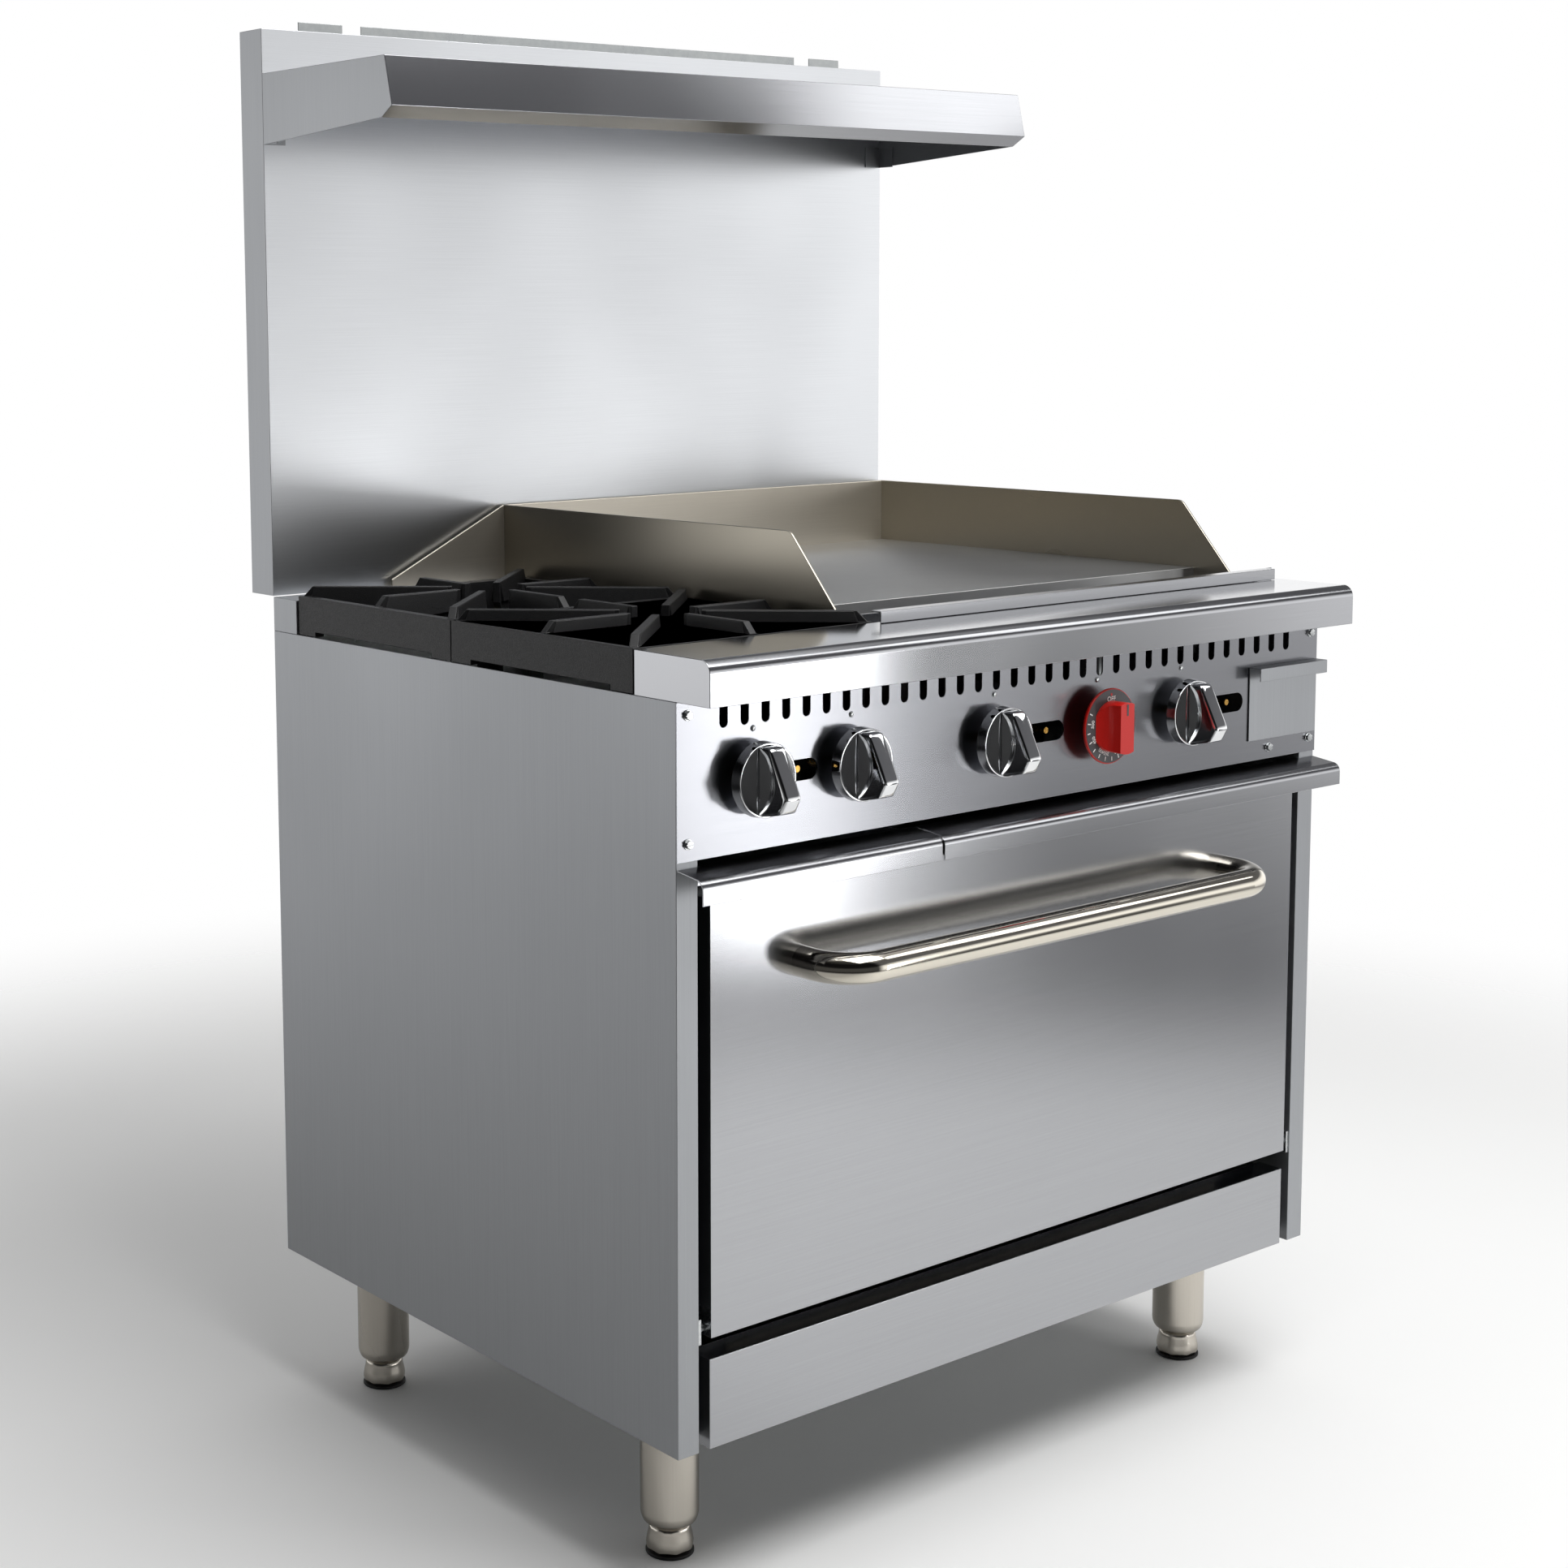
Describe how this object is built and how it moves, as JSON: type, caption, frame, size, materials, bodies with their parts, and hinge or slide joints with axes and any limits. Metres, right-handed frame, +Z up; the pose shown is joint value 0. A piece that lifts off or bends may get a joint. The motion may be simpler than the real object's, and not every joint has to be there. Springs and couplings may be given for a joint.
{
  "type": "commercial gas range",
  "caption": "Restaurant gas range with open burners, a griddle with splash guards, a drop-door oven, drip trays and a high shelf on a rear riser.",
  "frame": {"origin": "on the floor under the middle of the overall box", "axes": "+Z up, +X to the right seen from the front, the front faces -Y"},
  "size_m": [0.914, 0.798, 1.509],
  "materials": {
    "stainless": "brushed stainless steel sheet",
    "stainless_bright": "polished stainless tube",
    "galvanised": "galvanised steel sheet",
    "enamel_black": "porcelain enamel, dark",
    "cast_iron": "black enamelled cast iron",
    "griddle_steel": "ground steel plate",
    "chrome": "chromed",
    "red_plastic": "red phenolic plastic",
    "brass": "brass",
    "black_pipe": "black gas pipe",
    "zinc_steel": "zinc plated steel",
    "wire": "plated steel wire",
    "wool": "mineral wool",
    "gasket": "woven glass rope",
    "rubber": "black rubber pad"
  },
  "bodies": {
    "root": {"left_side_panel": "stainless", "right_side_panel": "stainless", "back_panel": "galvanised", "base_pan": "galvanised", "kick_panel": "stainless", "oven_face_frame": "enamel_black", "oven_liner": "enamel_black", "oven_insulation": "wool", "oven_hearth": "enamel_black", "oven_burner": "galvanised", "rack_guides": "wire", "oven_rack": "wire", "door_gasket": "gasket", "flue_duct": "galvanised", "hinge_pins": "zinc_steel", "control_panel": "stainless", "panel_screws": "zinc_steel", "pointer_rivets": "zinc_steel", "burner_valves": "brass", "thermostat_body": "galvanised", "gas_manifold": "black_pipe", "pilot_tubes": "brass", "open_burners": "cast_iron", "griddle_burners": "galvanised", "burner_rails": "galvanised", "front_ledge": "stainless", "rear_rail": "stainless", "griddle_plate": "griddle_steel", "griddle_splash_guard": "stainless", "griddle_trough": "stainless", "riser_front": "stainless", "riser_back": "galvanised", "shelf": "stainless", "shelf_brackets": "stainless", "leg_tubes": "stainless"},
    "door": {"door_outer_panel": "stainless", "door_inner_panel": "enamel_black", "door_hinge_blocks": "zinc_steel", "door_insulation": "wool", "door_handle": "stainless_bright", "handle_screws": "zinc_steel"},
    "thermostat": {"thermostat_knob": "red_plastic", "thermostat_stem": "brass"},
    "left_tray": {"drip_tray_left": "stainless"},
    "right_tray": {"drip_tray_right": "stainless"},
    "drawer": {"grease_drawer": "stainless"},
    "grate_front": {"front_grate": "cast_iron"},
    "grate_rear": {"rear_grate": "cast_iron"},
    "burner_knob_1": {"knob_1": "chrome", "stem_1": "brass"},
    "burner_knob_2": {"knob_2": "chrome", "stem_2": "brass"},
    "burner_knob_3": {"knob_3": "chrome", "stem_3": "brass"},
    "burner_knob_4": {"knob_4": "chrome", "stem_4": "brass"},
    "leveller_front_left": {"foot_front_left": "zinc_steel"},
    "leveller_front_right": {"foot_front_right": "zinc_steel"},
    "leveller_rear_left": {"foot_rear_left": "zinc_steel"},
    "leveller_rear_right": {"foot_rear_right": "zinc_steel"}
  },
  "joints": [
    {"name": "door_hinge", "type": "hinge", "parent": "root", "child": "door", "pos_m": [0, -0.316, 0.266], "axis": [1, 0, 0], "range_deg": [0, 90]},
    {"name": "knob_1_turn", "type": "hinge", "parent": "root", "child": "burner_knob_1", "pos_m": [-0.3675, -0.3375, 0.773], "axis": [0, -1, 0], "range_deg": [0, 90]},
    {"name": "knob_2_turn", "type": "hinge", "parent": "root", "child": "burner_knob_2", "pos_m": [-0.2455, -0.3375, 0.773], "axis": [0, -1, 0], "range_deg": [0, 90]},
    {"name": "knob_3_turn", "type": "hinge", "parent": "root", "child": "burner_knob_3", "pos_m": [-0.0535, -0.3375, 0.773], "axis": [0, -1, 0], "range_deg": [0, 90]},
    {"name": "knob_4_turn", "type": "hinge", "parent": "root", "child": "burner_knob_4", "pos_m": [0.2275, -0.3375, 0.773], "axis": [0, -1, 0], "range_deg": [0, 90]},
    {"name": "thermostat_turn", "type": "hinge", "parent": "root", "child": "thermostat", "pos_m": [0.0965, -0.3375, 0.773], "axis": [0, -1, 0], "range_deg": [0, 285]},
    {"name": "left_tray_slide", "type": "slide", "parent": "root", "child": "left_tray", "axis": [0, -1, 0], "range_m": [0, 0.45]},
    {"name": "right_tray_slide", "type": "slide", "parent": "root", "child": "right_tray", "axis": [0, -1, 0], "range_m": [0, 0.45]},
    {"name": "drawer_slide", "type": "slide", "parent": "root", "child": "drawer", "axis": [0, -1, 0], "range_m": [0, 0.25]},
    {"name": "front_grate_lift", "type": "slide", "parent": "root", "child": "grate_front", "axis": [0, 0, 1], "range_m": [0, 0.12]},
    {"name": "rear_grate_lift", "type": "slide", "parent": "root", "child": "grate_rear", "axis": [0, 0, 1], "range_m": [0, 0.12]},
    {"name": "foot_front_left_level", "type": "slide", "parent": "root", "child": "leveller_front_left", "axis": [0, 0, -1], "range_m": [0, 0.025]},
    {"name": "foot_front_right_level", "type": "slide", "parent": "root", "child": "leveller_front_right", "axis": [0, 0, -1], "range_m": [0, 0.025]},
    {"name": "foot_rear_left_level", "type": "slide", "parent": "root", "child": "leveller_rear_left", "axis": [0, 0, -1], "range_m": [0, 0.025]},
    {"name": "foot_rear_right_level", "type": "slide", "parent": "root", "child": "leveller_rear_right", "axis": [0, 0, -1], "range_m": [0, 0.025]}
  ]
}
